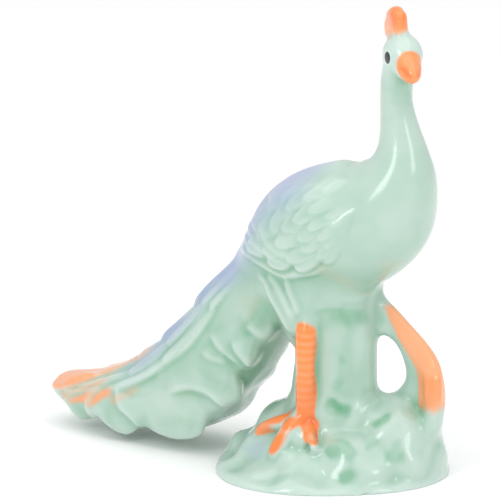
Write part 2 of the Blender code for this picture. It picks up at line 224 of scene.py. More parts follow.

# Edges of overlapping feathers on the sides, as x, z. The side to the left of the way is raised.
# Each has its height as a share of the hem's, how far the rise reaches back, and how dark the pooled glaze
# and painted shade at its foot are.
EDGES = (
    (1.0, 5, 1.0, ((-26, 48), (-22.8, 46), (-19.8, 44.3), (-17, 46))),
    (1.1, 6, 1.0, ((-31, 43), (-28.6, 38.9), (-26.3, 36), (-24.5, 33.6), (-21, 36))),
    (0.8, 5, 0.7, ((-40, 44), (-38, 41.2), (-35.2, 38.3), (-31.3, 35.9), (-27.5, 34))),
    (0.5, 4, 0.5, ((-43, 37.5), (-40.8, 35.3), (-37.8, 34.4), (-33, 33.8))),
    (1.2, 8, 1.0, ((-56, 20.5), (-53, 21.6), (-46.7, 23.3), (-40.3, 22.2), (-36.3, 19.4), (-33.5, 16))),
    (1.3, 7, 1.0, ((-76, 21), (-77.3, 17.8), (-76.1, 12.7), (-71.7, 9.2), (-68.5, 4))),
    (1.1, 6, 0.8, ((-89, 16), (-91.3, 12), (-92, 7.1), (-89, 3.5))),
    (
        1.0,
        4,
        0.9,
        (
            (-84, 15),
            (-76.1, 18.5),
            (-66.2, 23.7),
            (-59.3, 28.1),
            (-49.7, 35.8),
            (-44, 42.4),
            (-38.5, 50.9),
            (-34, 59),
        ),
    ),
    (0.7, 4, 0.4, ((-76, 24), (-66, 29.6), (-56.3, 36.6), (-49.7, 42.6), (-42.1, 51.2), (-36, 61))),
    (1.0, 4, 1.0, ((-110, 11.5), (-105.7, 12.6), (-94.3, 17.2), (-87.9, 20.2), (-80.1, 23.9), (-72, 27.9))),
    (0.6, 3, 0.5, ((-102, 11), (-99.9, 12), (-90.4, 16.4), (-81.3, 20.8), (-76.2, 23.5))),
    (0.7, 3, 0.6, ((-92, 9), (-90.9, 11.7), (-86.5, 16.4), (-80.9, 20), (-74.1, 23.4))),
)
# The same for the long flight feathers along the foot of the wing and the crease of the belly.
WING_EDGES = (
    (
        1.0,
        6,
        0.9,
        (
            (-34, 75),
            (-30, 73.2),
            (-25.8, 71.7),
            (-19.8, 70),
            (-14.7, 68.6),
            (-8.8, 67.6),
            (-0.2, 69.4),
            (6.2, 71.6),
            (10.9, 74.5),
        ),
    ),
    (0.55, 3, 0.7, ((-33.5, 79), (-28.3, 77.3), (-23.7, 75.6), (-17.8, 74), (-10.6, 71.9), (-3, 70.6))),
    (0.5, 3, 0.6, ((-33.5, 83.5), (-29, 81.4), (-24, 79.4), (-18, 77), (-11, 74.6), (-3, 73.2))),
    (0.35, 3, 0.4, ((-17, 86), (-15.9, 83.5), (-13.6, 79.7), (-8.5, 77), (-2, 75.8))),
    (0.15, 4, 0.5, ((1, 57), (3.2, 58), (8.1, 58.6), (13.2, 58), (17, 57))),
)
# Loose strands that fall from the hip, as x, z.
STRANDS = (
    ((-22, 67), (-19.3, 65.6), (-16.6, 63.9), (-14.4, 60.3), (-10.1, 54.9), (-6.5, 47)),
    ((-17, 67), (-13.8, 66), (-10.5, 63.1), (-7.3, 58.6), (-4.2, 53.2)),
    ((-9, 68), (-7.4, 67.2), (-6.5, 63.6), (-4, 58.9), (-3, 55)),
)
# Spots of thick green on the right side and the front: x, y, z, reach, strength.
SPOTS = (
    (9.4, -12.2, 25.0, 4.2, 1.0),
    (23.1, -6.0, 20.7, 4.0, 0.9),
    (13.6, -18.2, 14.4, 4.2, 0.95),
    (18.0, -18.4, 12.8, 4.2, 0.9),
    (16.8, -20.0, 10.6, 3.0, 0.7),
    (22.7, -10.0, 15.2, 3.4, 0.6),
    (30.0, -7.9, 12.3, 3.8, 0.75),
    (20.3, -22.2, 5.2, 4.4, 1.0),
    (1.3, -33.5, 3.3, 4.4, 0.45),
    (2.7, -24.5, 10.3, 4.0, 0.4),
    (-21.5, -5.4, 19.6, 5.0, 0.6),
    (-10.0, -9.0, 27.0, 5.0, 0.4),
    (-28.7, -12.4, 9.6, 4.5, 0.5),
    (32.5, 4.0, 19.0, 4.0, 0.35),
    (11.1, -9.0, 55.3, 6.0, 0.5),
    (16.0, -4.0, 56.0, 5.0, 0.45),
    (9.6, -9.5, 42.0, 4.0, 0.35),
    (8.9, -10.4, 34.0, 3.6, 0.35),
    (18.0, -3.0, 31.0, 4.5, 0.4),
    # Under the chin: pooled glaze and painted shade.
    (28.0, -4.5, 134.0, 8.0, 0.3),
    (12.0, 14.0, 22.0, 5.0, 0.8),
    (-4.0, 20.0, 14.0, 5.0, 0.8),
    (22.0, 20.0, 12.0, 4.5, 0.9),
    (4.0, 28.0, 7.0, 4.5, 0.7),
    (-18.0, 14.0, 12.0, 4.5, 0.6),
    (32.0, 12.0, 10.0, 4.0, 0.6),
)
# Thick green in the lee of the train's feathers, on both sides: x, z, reach, strength.
TRAIN_SPOTS = (
    (-20, 52.5, 7, 0.5),
    (-17.5, 42.5, 7, 0.4),
    (-26, 47, 4, 0.35),
    (-23, 34.5, 7, 0.45),
    (-28.5, 39, 5, 0.4),
    (-39.5, 29.5, 5, 0.35),
    (-29.5, 26, 8, 0.4),
    (-53, 11, 8, 0.35),
    (-44, 9.5, 7, 0.4),
    (-66, 7, 6, 0.5),
    (-80, 8, 5, 0.45),
    (-96, 8, 5, 0.4),
)
# Blue sprayed low on the rock: x, y, z, reach, strength.
ROCK_BLUE = ((-15.5, -21, 9, 5.5, 0.35), (-24, -14, 10, 4, 0.25), (24, -4, 33, 4, 0.2))
# Faint warm traces: x, z, reach, strength.
SCUFFS = (
    (13.5, 67.8, 3.2, 0.5),
    (8.5, 73.6, 3.5, 0.4),
    (28, 74.5, 3.6, 0.5),
    (-24, 55, 7, 0.25),
    (-52, 19, 7, 0.2),
    (-37, 3.5, 4, 0.3),
)
# Orange brushed along the long feathers of the tail end: half width, strength, and a line of x and z.
TAIL_BRUSH = (
    (3.0, 0.75, ((-118, 13.5), (-108, 15), (-97, 18.6), (-88, 22.2), (-79, 27))),
    (2.4, 0.5, ((-86, 23), (-78, 27.5), (-71, 32), (-64, 38))),
    (2.6, 0.8, ((-101, 11.8), (-97, 12.8), (-90, 15.4), (-81, 19.8), (-75, 22.8))),
    (2.2, 0.75, ((-91, 11.6), (-88, 13.4), (-84, 16.2), (-78, 19.6))),
    (1.7, 0.4, ((-79, 14.2), (-75, 16.5), (-70, 19.6), (-65, 22.5))),
)
TAIL_GROOVES = 3  # how many of the last train edges part the orange strokes
CRESTED_SPOT = (25.0, -3.8, 155.8)  # where the crest is brushed twice
THIRD_TOE_SPOT = (5.6, -20.8, 16.2)  # where the orange is wiped off the third toe

# The first paint holds glaze pooled in hollows together with painted shade at the feet of feathers and on
# the undersides.
PAINTS = ("pool_and_shade", "edge", "spot", "scuff", "lavender", "blue", "orange", "deep", "pale", "rings", "bare")
SPRAYED_SOFT = ("orange", "deep", "pale", "lavender", "blue")

EYE_TURN = 22  # ahead of straight sideways, in degrees
EYE_RISE = -0.4  # up from the head's middle
EYE_HALF = (1.6, 2.05)  # half width and half height

FOOT_REACH = 2.2  # how far the shade at the foot of a feather's edge spreads
FLAT_BELOW = 0.6  # the casting's points under this height lie on the floor
RIM_BELOW = 2.4  # and those under this one are drawn down towards it
FLAT_WITHIN = 1e-6  # metres of height that still count as flat

# Turn and rise of each soft box, its distance, width and height, and its share of the power.
SOFT_BOXES = (
    (-2, 32, 1.0, 0.26, 0.34, 1.9),
    (78, 30, 1.0, 0.24, 0.34, 1.15),
    (35, 86, 1.5, 2.0, 2.0, 13.5),
)
LIT_HEIGHT = 0.07  # what the soft boxes are turned to
PICTURE_WIDTH = 166.7  # parts across the picture, so that the figurine fills 480 of its 500 points
PICTURE_MIDDLE = (-27.33, 72.67)  # parts to the right of the origin and up
SENSOR = 36  # millimetres


def ramp(value, low, high):
    """0 at low and 1 at high, smooth between them."""
    t = np.clip((value - low) / (high - low), 0, 1)
    return t * t * (3 - 2 * t)


def window(value, rise, full, fall, gone):
    """0 up to rise, 1 from full to fall, and 0 from gone on."""
    return ramp(value, rise, full) * ramp(-value, -gone, -fall)


def bend(line, count=40):
    """Points on a smooth curve through the stations of a line."""
    table = np.array(line, float)
    table = np.vstack((2 * table[0] - table[1], table, 2 * table[-1] - table[-2]))
    points = []
    for s in np.linspace(0, len(line) - 1.0001, count):
        i = int(s)
        f = s - i
        p0, p1, p2, p3 = table[i : i + 4]
        turn = 2 * p0 - 5 * p1 + 4 * p2 - p3
        twist = 3 * p1 - p0 - 3 * p2 + p3
        points.append(0.5 * (2 * p1 + (p2 - p0) * f + turn * f**2 + twist * f**3))
    return np.array(points)


def beside(points, line):
    """Each point's distance from a line, the share of the line that it lies along, and its side."""
    best = np.full(len(points), 1e9)
    along = np.zeros(len(points))
    left = np.zeros(len(points))
    steps = np.linalg.norm(np.diff(line, axis=0), axis=1)
    starts = np.concatenate(((0,), np.cumsum(steps)))
    for a, b, step, start in zip(line[:-1], line[1:], steps, starts):
        run = (b - a) / step
        t = np.clip((points - a) @ run, 0, step)
        off = points - a - t[:, None] * run
        far = np.linalg.norm(off, axis=1)
        nearer = far < best
        best = np.where(nearer, far, best)
        along = np.where(nearer, (start + t) / starts[-1], along)
        if len(run) == 2:
            left = np.where(nearer, run[0] * off[:, 1] - run[1] * off[:, 0], left)
    return best, along, np.sign(left)


def away(points, line, count=40):
    """How far each point lies from the smooth curve through a line."""
    return beside(points, bend(line, count))[0]


def aside(points, line):
    """How far each point lies to the left of the smooth curve through a line, below 0 on its right."""
    distance, _, left = beside(points, bend(line))
    return distance * left


def noise_at(points):
    """Smooth noise between -1 and 1."""
    return np.array([noise.noise(Vector(point)) for point in points])


def drift(points):
    """A smooth push for each point, of less than 1 either way along each axis."""
    shifts = ((9.3, -1.5, -8.0), (0.4, 5.2, 3.1), (6.3, 0.2, -2.7))
    return np.stack([noise_at(points + shift) for shift in shifts], 1)


def settle(points, edges, share, passes):
    """Draws each point towards the middle of its neighbours, and with a negative share away from it."""
    a, b = edges.T
    many = len(points)
    count = np.bincount(edges.ravel(), minlength=many)
    share = np.broadcast_to(share, many)
    for _ in range(passes):
        moved = np.empty_like(points)
        for axis in range(points.shape[1]):
            value = points[:, axis]
            total = np.bincount(a, weights=value[b], minlength=many)
            total += np.bincount(b, weights=value[a], minlength=many)
            moved[:, axis] = value + share * (total / count - value)
        points = moved
    return points


def train_place(x, z):
    """How far along the train a point lies, and how far from the ridge down to the keel."""
    best = np.full(len(x), 1e9)
    along = np.zeros(len(x))
    down = np.zeros(len(x))
    stations = bend(TRAIN, 121)
    for step, (rx, rz, kx, kz) in enumerate(stations):
        reach = math.hypot(kx - rx, kz - rz)
        ux, uz = (kx - rx) / reach, (kz - rz) / reach
        deep = ((x - rx) * ux + (z - rz) * uz) / reach
        off = np.abs((x - rx) * uz - (z - rz) * ux) + 20 * np.clip(np.abs(deep - 0.5) - 0.75, 0, None)
        nearer = off < best
        best = np.where(nearer, off, best)
        along = np.where(nearer, step / (len(stations) - 1), along)
        down = np.where(nearer, deep, down)
    return along, down


class Skin:
    """The fine skin: its points in parts, where each lies to the toes and the head, and its paint."""

    def __init__(self, mesh):
        self.mesh = mesh
        edges = np.empty(len(mesh.edges) * 2, int)
        mesh.edges.foreach_get("vertices", edges)
        self.edges = edges.reshape(-1, 2)
        points = np.empty(len(mesh.vertices) * 3)
        mesh.vertices.foreach_get("co", points)
        self.points = points.reshape(-1, 3) / PART
        self.paint = {}
        self.toes = None  # distance from the right foot's toes
        self.ahead = self.across = self.above = None  # place as seen from the head
        self.mouth = None  # 1 in the line between the two halves of the beak

    @property
    def side_view(self):
        """The points' x and z, in which the lines on the sides are given."""
        return self.points[:, (0, 2)]

    def smooth(self, share, passes):
        """Draws the points towards their neighbours."""
        self.points = settle(self.points, self.edges, share, passes)

    def place(self):
        """Writes the points back and returns the directions they face."""
        self.mesh.vertices.foreach_set("co", (self.points * PART).ravel())
        self.mesh.update()
        normals = np.empty(len(self.points) * 3)
        self.mesh.vertices.foreach_get("normal", normals)
        return normals.reshape(-1, 3)

    def spray(self, name, amount):
        """Adds to a paint, which stays between 0 and 1."""
        now = self.paint.get(name, 0)
        self.paint[name] = np.clip(now + amount - now * amount, 0, 1)


def fine_skin(node, grain):
    """The node's own form with points close enough for carving."""
    form = bmesh.new()
    form.from_mesh(node.data)
    bmesh.ops.remove_doubles(form, verts=form.verts, dist=0.01 * PART)
    mesh = bpy.data.meshes.new("casting")
    form.to_mesh(mesh)
    form.free()
    rough = bpy.data.objects.new("casting", mesh)
    bpy.context.scene.collection.objects.link(rough)
    rounder = rough.modifiers.new("rounder", "SUBSURF")
    rounder.levels = rounder.render_levels = 1
    finer = rough.modifiers.new("finer", "REMESH")
    finer.mode = "VOXEL"
    finer.voxel_size = grain
    graph = bpy.context.evaluated_depsgraph_get()
    fine = bpy.data.meshes.new_from_object(rough.evaluated_get(graph))
    bpy.data.objects.remove(rough)
    bpy.data.meshes.remove(mesh)
    return fine


def even_out(skin):
    """Takes the facets off the casting, and its coarse feathers where finer ones are carved."""
    x, y, z = skin.points.T
    for _ in range(8):
        skin.smooth(0.5, 1)
        skin.smooth(-0.52, 1)
    from_shoulder = np.hypot(x - SHOULDER[0], z - SHOULDER[1])
    on_wing = ramp(-from_shoulder, -68, -60) * ramp(z, 62, 68) * ramp(-x, -25, -19) * ramp(np.abs(y), 3, 6)
    on_train = ramp(-x, 28, 40)
    skin.smooth(0.5 * np.maximum(on_wing, 0.35 * on_train), 90)
    on_trunk = window(z, 22, 34, 120, 140) * ramp(x, -30, -20)
    skin.smooth(0.3 * on_trunk, 10)
    skin.toes = np.min([away(skin.points, line, 12) for line in RIGHT_TOES], axis=0)
    on_rock = window(z, 1.5, 4, 22, 32) * ramp(skin.toes, 2.6, 5) * ramp(x, -46, -40)
    skin.smooth(0.5 * on_rock, 16)


def scales(skin, lift):
    """The overlapping scale feathers of the wing, in rows that fan out from the shoulder."""
    x, y, z = skin.points.T
    dx, dz = x - SHOULDER[0], z - SHOULDER[1]
    turn = np.degrees(np.arctan2(dz, dx))
    turn = np.where(turn > 90, turn - 360, turn)
    rim = np.array(WING_RIM)
    limit = np.interp(turn, rim[:, 0], rim[:, 1])
    reach = np.hypot(dx, dz) / limit
    across = np.clip((turn - rim[0, 0]) / (rim[-1, 0] - rim[0, 0]), 0, 1)
    stir = drift(np.stack((x * 0.09, z * 0.09, np.zeros_like(x)), 1))
    across = across + 0.035 * stir[:, 0]
    reach = reach + 0.03 * stir[:, 1]
    height = np.zeros_like(x)
    shade = np.zeros_like(x)
    edge = np.zeros_like(x)
    for share, count, shift in WING_ROWS:
        place = (across * count + shift) % 1 * 2 - 1
        tip = share - 0.07 * place**2 - 0.02 * place**4
        beyond = (reach - tip) * limit
        inside = ramp(-beyond, -0.8, 0.8)
        crown = lift * (0.25 + 0.75 * ramp(-beyond, -8, -1)) * (1 - 0.4 * place**4)
        height += inside * (crown - height)
        foot = np.exp(-np.clip(beyond, 0, None) / FOOT_REACH) * (1 - 0.4 * place**2)
        shade = (1 - inside) * np.maximum(shade, foot)
        edge = (1 - inside) * edge + inside * np.exp(np.clip(beyond, None, 0) / 1.3)
    here = ramp(reach, 0.16, 0.42) * window(turn, -190, -180, -130, -100)
    here *= ramp(np.abs(y), 2.5, 6) * ramp(z, 60, 66) * ramp(away(skin.side_view, DORSAL), 2, 8)
    # Painted shade and pooled glaze at the foot of each feather.
    skin.spray("pool_and_shade", 0.55 * shade * here)
    skin.spray("edge", (0.15 + 0.5 * edge) * here * ramp(-reach, -1.0, -0.9))
    return height * here


def ridge(skin, along, down, lift):
    """The long feathers that lie along the back of the train."""
    height = np.zeros(len(along))
    shade = np.zeros(len(along))
    for low, high, ends in RIDGE_BANDS:
        middle, half = (low + high) / 2, (high - low) / 2
        side = np.abs((down - middle) / half)
        start = RIDGE_START
        for end in ends:
            inside = window(along, start - 0.006, start + 0.006, end - 0.006, end + 0.006) * (side < 1)
            rise = np.clip((along - start) / (end - start), 0, 1)
            taper = 1 - 0.75 * ramp(rise, 0.86, 1) * side**2
            body = np.clip(1 - side**3, 0, 1)
            height += inside * (body * taper * (0.35 + 0.75 * rise) - height)
            foot = np.exp(-np.clip(along - start, 0, None) / 0.02) * (start > RIDGE_START)
            shade += inside * (foot + ramp(side, 0.72, 1) - shade)
            start = end
    here = ramp(along, RIDGE_START, 0.24) * ramp(-skin.points[:, 0], 20, 32)
    # Painted shade and pooled glaze where each long feather starts and along its sides.
    skin.spray("pool_and_shade", 0.5 * np.clip(shade, 0, 1) * here)
    return lift * height * here


def hems(skin, lines, lift, where):
    """Feather edges that stand out over what they cover."""
    height = np.zeros(len(skin.points))
    for share, back, dark, line in lines:
        distance, along, left = beside(skin.side_view, bend(line))
        near = distance * left
        ends = window(along, 0, 0.22, 0.78, 1) * where
        raised = np.exp(-np.clip(near, 0, None) / back) * ramp(near, -1, 1)
        low = np.exp(np.clip(near, None, 0) / FOOT_REACH) * ramp(-near, -1, 1)
        height += share * lift * ends * (raised - 0.3 * low)
        # Painted shade and pooled glaze on the low side of the hem.
        skin.spray("pool_and_shade", 0.6 * dark * ends * np.exp(-np.abs(near) / 4) * ramp(-near, -0.4, 0.9))
        skin.spray("edge", 0.5 * min(share, 1) * ends * np.exp(-np.abs(near - 0.6)))
    return height


def strokes(skin, lines, wide):
    """How near each point is to the nearest of some short strokes in space, from 0 to 1."""
    near = np.zeros(len(skin.points))
    for line in lines:
        distance, along, _ = beside(skin.points, bend(line, 12))
        near = np.maximum(near, np.exp(-((distance / wide) ** 2)) * window(along, 0, 0.2, 0.75, 1))
    return near


def strands(skin):
    """The loose strands that fall from the hip on the right side."""
    height = np.zeros(len(skin.points))
    on_right = ramp(-skin.points[:, 1], 8, 11)
    for line in STRANDS:
        distance, along, _ = beside(skin.side_view, bend(line))
        strand = np.exp(-((distance / 1.1) ** 2)) * window(along, 0, 0.15, 0.8, 1) * on_right
        height += 0.75 * strand
        skin.spray("edge", 0.35 * strand)
    return height


def mouth(skin):
    """The line between the two halves of the beak, and where each point lies as seen from the head."""
    from_head = skin.points - HEAD
    skin.ahead, skin.across, skin.above = from_head @ FACE, from_head @ CHEEK, from_head[:, 2]
    distance = away(np.stack((skin.ahead, skin.above), 1), MOUTH, 16)
    on_beak = ramp(skin.ahead, 7.5, 9.5) * ramp(np.abs(skin.across), 0.5, 1.5)
    skin.mouth = np.exp(-((distance / 0.55) ** 2)) * on_beak
    return -0.5 * skin.mouth


def lumps(skin, lift):
    """The small lumps of the rock, clear of the toes."""
    x, _, z = skin.points.T
    on_rock = window(z, 0.6, 3, 24, 34) * ramp(x, -46, -40) * ramp(skin.toes, 3.5, 5.5)
    return 1.6 * lift * noise_at(skin.points * 0.13 + (9.1, 2.3, 4.4)) * on_rock


def carve(skin, sizes):
    """Feathers, creases, claws and lumps, raised along the way that each point faces."""
    normals = skin.place()
    x, _, z = skin.points.T
    along, down = train_place(x, z)
    sideways = ramp(np.abs(normals[:, 1]), 0.15, 0.5)
    on_train = ramp(-x, 17, 26) * ramp(-normals[:, 0], -0.9, -0.5)
    height = scales(skin, sizes.wing_lift / PART)
    height += hems(skin, EDGES, sizes.hem_lift / PART, sideways * on_train)
    height += ridge(skin, along, down, sizes.ridge_lift / PART)
    height += hems(skin, WING_EDGES, 0.8 * sizes.wing_lift / PART, sideways)
    height += strands(skin)
    height += 1.1 * strokes(skin, LEFT_CLAWS, 0.9)
    height += mouth(skin)
    height += lumps(skin, sizes.lump_height / PART)
    height = settle(height[:, None], skin.edges, 0.5, sizes.softness)[:, 0]
    skin.points += normals * height[:, None]
    skin.smooth(0.25, 1)


def pools(skin):
    """Glaze lies thick in hollows and thin over edges, told by how each point lies to those round it;
    painted shade darkens the undersides.
    """
    normals = skin.place()
    for passes, gain in ((6, 7.0), (40, 1.2)):
        around = settle(skin.points, skin.edges, 0.5, passes)
        pool_and_shade = np.einsum("ij,ij->i", around - skin.points, normals)
        skin.spray("pool_and_shade", np.clip(pool_and_shade * gain, 0, 1) * 0.6)
        skin.spray("edge", np.clip(-pool_and_shade * gain - 0.12, 0, 1) * 0.5)
    # Painted shade: darker where the belly and the train face down.
    skin.spray("pool_and_shade", 0.3 * ramp(-normals[:, 2], 0.1, 0.9) * ramp(skin.points[:, 2], 40, 60))


def spot(points, centre, reach):
    """1 in the middle of a soft round spot and 0 a little outside its reach."""
    return ramp(-np.linalg.norm(points - centre, axis=1), -1.3 * reach, -0.2 * reach)


def wander(points, size, shift):
    """The same points moved a little this way and that, which gives what is sprayed there uneven rims."""
    return points + shift * drift(points / size)


def paint_right_leg(skin):
    """The ringed right leg and its foot, brushed on the side that the picture shows."""
    x, y, z = skin.points.T
    dx, dy = x - RIGHT_LEG[0], y - RIGHT_LEG[1]
    turn = math.radians(SHOWN_FROM)
    seen_across = dx * math.cos(turn) + dy * math.sin(turn)
    leg = ramp(-np.hypot(dx, dy), -5.0, -4.4) * ramp(-y, 11.6, 13) * ramp(z, 17, 20)
    leg *= ramp(-np.abs(seen_across - 0.6) - 0.3 * np.sin(0.37 * z), -3.8, -2.8)
    foot = ramp(ramp(z, 17, 20) - skin.toes, -3.2, -2.2) * ramp(z - 0.8 * np.clip(x, -6, 0), 13.4, 15)
    skin.spray("rings", leg * window(z, 22, 26, 50, 53))
    skin.spray("orange", np.maximum(leg * ramp(-z - 0.12 * dx**2, -54.9, -52.3), foot))
    skin.spray("deep", 0.55 * ramp(-z, -44, -24) * leg + 0.4 * foot)
    skin.spray("pale", 0.9 * spot(skin.points, THIRD_TOE_SPOT, 1.8))


def paint_left_leg(skin):
    """The bent left leg, wiped thin but for the strokes of its claws."""
    x, _, z = skin.points.T
    leg = ramp(-away(skin.points, LEFT_LEG), -5.6, -4.8) * ramp(x, 15, 18)
    leg *= ramp(z + 0.7 * np.sin(1.9 * x), 21.5, 28) * ramp(-z, -60, -55)
    leg *= ramp(aside(skin.side_view, LEFT_LEG_RIM), -0.8, 0.8)
    skin.spray("orange", leg)
    skin.spray("pale", 0.65 * leg * (1 - 0.7 * strokes(skin, LEFT_CLAWS, 1.3)))


def paint_head(skin):
    """Beak and crest, in uneven strokes of two oranges."""
    x, _, z = skin.points.T
    middle, level, half_width, half_height = BEAK_ROOT
    root = np.hypot((skin.across - middle) / half_width, (skin.above - level) / half_height)
    root -= 0.12 * np.clip(skin.ahead - 6.5, 0, None)
    beak = ramp(-root, -1.12, -0.9) * ramp(skin.ahead, 4.2, 5.4) * ramp(z, 134, 136)
    fringe = 0.35 * (HEAD[0] - x) + 0.8 * np.sin(4.1 * skin.across)
    from_crest = beside(skin.points, np.array(CREST, float))[0]
    crest = ramp(-from_crest, -8.5, -7.5) * ramp(z + fringe, 150.6, 153.2)
    strokes_of_brush = noise_at(np.stack((0.9 * skin.across, 0.9 * skin.ahead, 0.15 * z), 1))
    skin.spray("orange", np.maximum(beak, crest))
    skin.spray("pale", 0.25 * beak + crest * (0.1 + 0.65 * ramp(-z, -154.5, -152)))
    skin.spray("deep", (0.1 + 0.9 * ramp(strokes_of_brush, -0.15, 0.3)) * (0.4 * beak + 0.9 * crest))
    skin.spray("deep", 0.8 * spot(skin.points, CRESTED_SPOT, 3.4) * crest)


def paint_tail_end(skin):
    """Orange strokes along the last feathers of the train, parted by their grooves."""
    upward = ramp(skin.place()[:, 2], -0.5, -0.1)
    for half, strength, line in TAIL_BRUSH:
        distance, along, _ = beside(skin.side_view, bend(line))
        brushed = ramp(-distance, -1.5 * half, -0.6 * half) * ramp(-along, -1.02, -0.6)
        skin.spray("orange", strength * brushed * upward)
        skin.spray("pale", 0.45 * brushed)
    for *_, line in EDGES[-TAIL_GROOVES:]:
        groove = np.exp(-((aside(skin.side_view, line) + 0.5) ** 2)) * ramp(-skin.points[:, 0], 62, 70)
        skin.paint["orange"] = skin.paint["orange"] * (1 - 0.65 * groove)


def paint_back(skin):
    """Lavender over the back and rump, and blue in streaks along the ridge of the train."""
    x, _, z = skin.points.T
    from_top = away(skin.side_view, DORSAL)
    streak = noise_at(skin.points * (0.09, 0.25, 0.09))
    on_back = window(x, -46, -34, -10, 6) * ramp(z, 55, 62)
    skin.spray("lavender", on_back * ramp(-from_top, -13, -2.5) * np.clip(0.85 + 0.4 * streak, 0, 1))
    # Blue is heavier in the pooled glaze and the painted shade.
    skin.spray("blue", on_back * ramp(-from_top, -20, -7) * (0.2 + 0.6 * skin.paint["pool_and_shade"]))
    on_ridge = window(x, -86, -60, -36, -26)
    skin.spray("blue", on_ridge * ramp(-from_top, -7, -1.5) * np.clip(0.6 + 1.1 * streak, 0, 1))
    skin.spray("lavender", 0.45 * on_ridge * ramp(-from_top, -11, -3))


def paint_spots(skin):
    """Spots of thick green and blue with uneven rims, runs of glaze on the stump, and warm traces."""
    x, y, z = skin.points.T
    uneven = wander(skin.points, 6, 3.6)
    for *centre, reach, strength in SPOTS:
        skin.spray("spot", strength * spot(uneven, centre, reach))
    for *centre, reach, strength in TRAIN_SPOTS:
        skin.spray("spot", strength * spot(uneven[:, (0, 2)], centre, reach))
    for *centre, reach, strength in ROCK_BLUE:
        skin.spray("blue", strength * spot(uneven, centre, reach))
    run = noise_at(skin.points * (0.2, 0.2, 0.045))
    skin.spray("pool_and_shade", 0.2 * ramp(run, -0.05, 0.45) * window(z, 22, 32, 52, 64) * ramp(x, -16, -8))
    for *centre, reach, strength in SCUFFS:
        skin.spray("scuff", strength * spot(skin.side_view, centre, reach) * ramp(-y, 0, 4))


def paint(skin):
    """Where the sprayed and brushed colours lie."""
    z = skin.points[:, 2]
    paint_right_leg(skin)
    paint_left_leg(skin)
    paint_head(skin)
    skin.spray("edge", 0.55 * ramp(z, 135, 142) + 0.3 * ramp(-z, -26, -18))
    paint_tail_end(skin)
    paint_back(skin)
    paint_spots(skin)
    for name in SPRAYED_SOFT:
        skin.paint[name] = settle(skin.paint[name][:, None], skin.edges, 0.5, 3)[:, 0]
    skin.spray("deep", skin.mouth)
    skin.spray("bare", ramp(-z, -0.25, -0.1))


class Bench:
    """Adds nodes to one material, so that its shading can be written as sums on wires."""

    def __init__(self, material):
        material.use_nodes = True
        self.tree = material.node_tree
        self.tree.nodes.clear()

    def node(self, kind, settings=(), sockets=()):
        """A node of a type, with its settings set first and then the values or wires of its sockets."""
        made = self.tree.nodes.new(kind)
        for name, value in dict(settings).items():
            setattr(made, name, value)
        for name, value in dict(sockets).items():
            socket = made.inputs[name]
            if isinstance(value, Wire):
                value = value.socket
            if isinstance(value, bpy.types.NodeSocket):
                self.tree.links.new(value, socket)
            else:
                socket.default_value = value
        return made

    def wire(self, kind, settings=(), sockets=(), out=0):
        """The output of a new node."""
        return Wire(self, self.node(kind, settings, sockets).outputs[out])

    def attribute(self, name):
        """A paint of the skin."""
        return self.wire("ShaderNodeAttribute", {"attribute_name": name}, out="Fac")

    def mix(self, share, under, over):
        """A colour from under to over."""
        made = self.node("ShaderNodeMix", {"data_type": "RGBA"})
        for number, value in ((0, share), (6, under), (7, over)):
            socket = made.inputs[number]
            if isinstance(value, Wire):
                self.tree.links.new(value.socket, socket)
            else:
                socket.default_value = value
        return Wire(self, made.outputs[2])

    def ramp(self, value, low, high):
        """0 at low and 1 at high, smooth between them."""
        limits = {"Value": value, "From Min": low, "From Max": high}
        return self.wire("ShaderNodeMapRange", {"interpolation_type": "SMOOTHSTEP"}, limits)

    def dot(self, wire, direction):
        """How far a place lies along a direction."""
        sockets = {0: wire, 1: direction}
        return self.wire("ShaderNodeVectorMath", {"operation": "DOT_PRODUCT"}, sockets, out="Value")

    def sine(self, wire):
        return wire.math("SINE", wire)


class Wire:
    """A node's output that adds Math nodes when it is reckoned with."""

    def __init__(self, bench, socket):
        self.bench = bench
        self.socket = socket

    def math(self, operation, a, b=0.0):
        return self.bench.wire("ShaderNodeMath", {"operation": operation}, {0: a, 1: b})

    def __add__(self, other):
        return self.math("ADD", self, other)

    def __sub__(self, other):
        return self.math("SUBTRACT", self, other)

    def __rsub__(self, other):
        return self.math("SUBTRACT", other, self)

    def __mul__(self, other):
        return self.math("MULTIPLY", self, other)

    def __pow__(self, other):
        return self.math("POWER", self, other)

    __radd__ = __add__
    __rmul__ = __mul__


def eye_distance(bench, place, side):
    """How far out from the middle of an eye, where 1 is the rim of the pupil."""
    turn = math.radians(EYE_TURN)
    out = -side * CHEEK * math.cos(turn) + FACE * math.sin(turn)
    across = FACE * math.cos(turn) + side * CHEEK * math.sin(turn)
    centre = (HEAD + (0, 0, EYE_RISE)) * PART
    local = bench.wire("ShaderNodeVectorMath", {"operation": "SUBTRACT"}, {0: place, 1: tuple(centre)})
    wide = bench.dot(local, tuple(across / (EYE_HALF[0] * PART)))
    high = bench.dot(local, (0, 0, 1 / (EYE_HALF[1] * PART)))
    behind = bench.ramp(bench.dot(local, tuple(out / PART)), 3.5, 2.5)
    return (wide * wide + high * high) ** 0.5 + 9 * behind


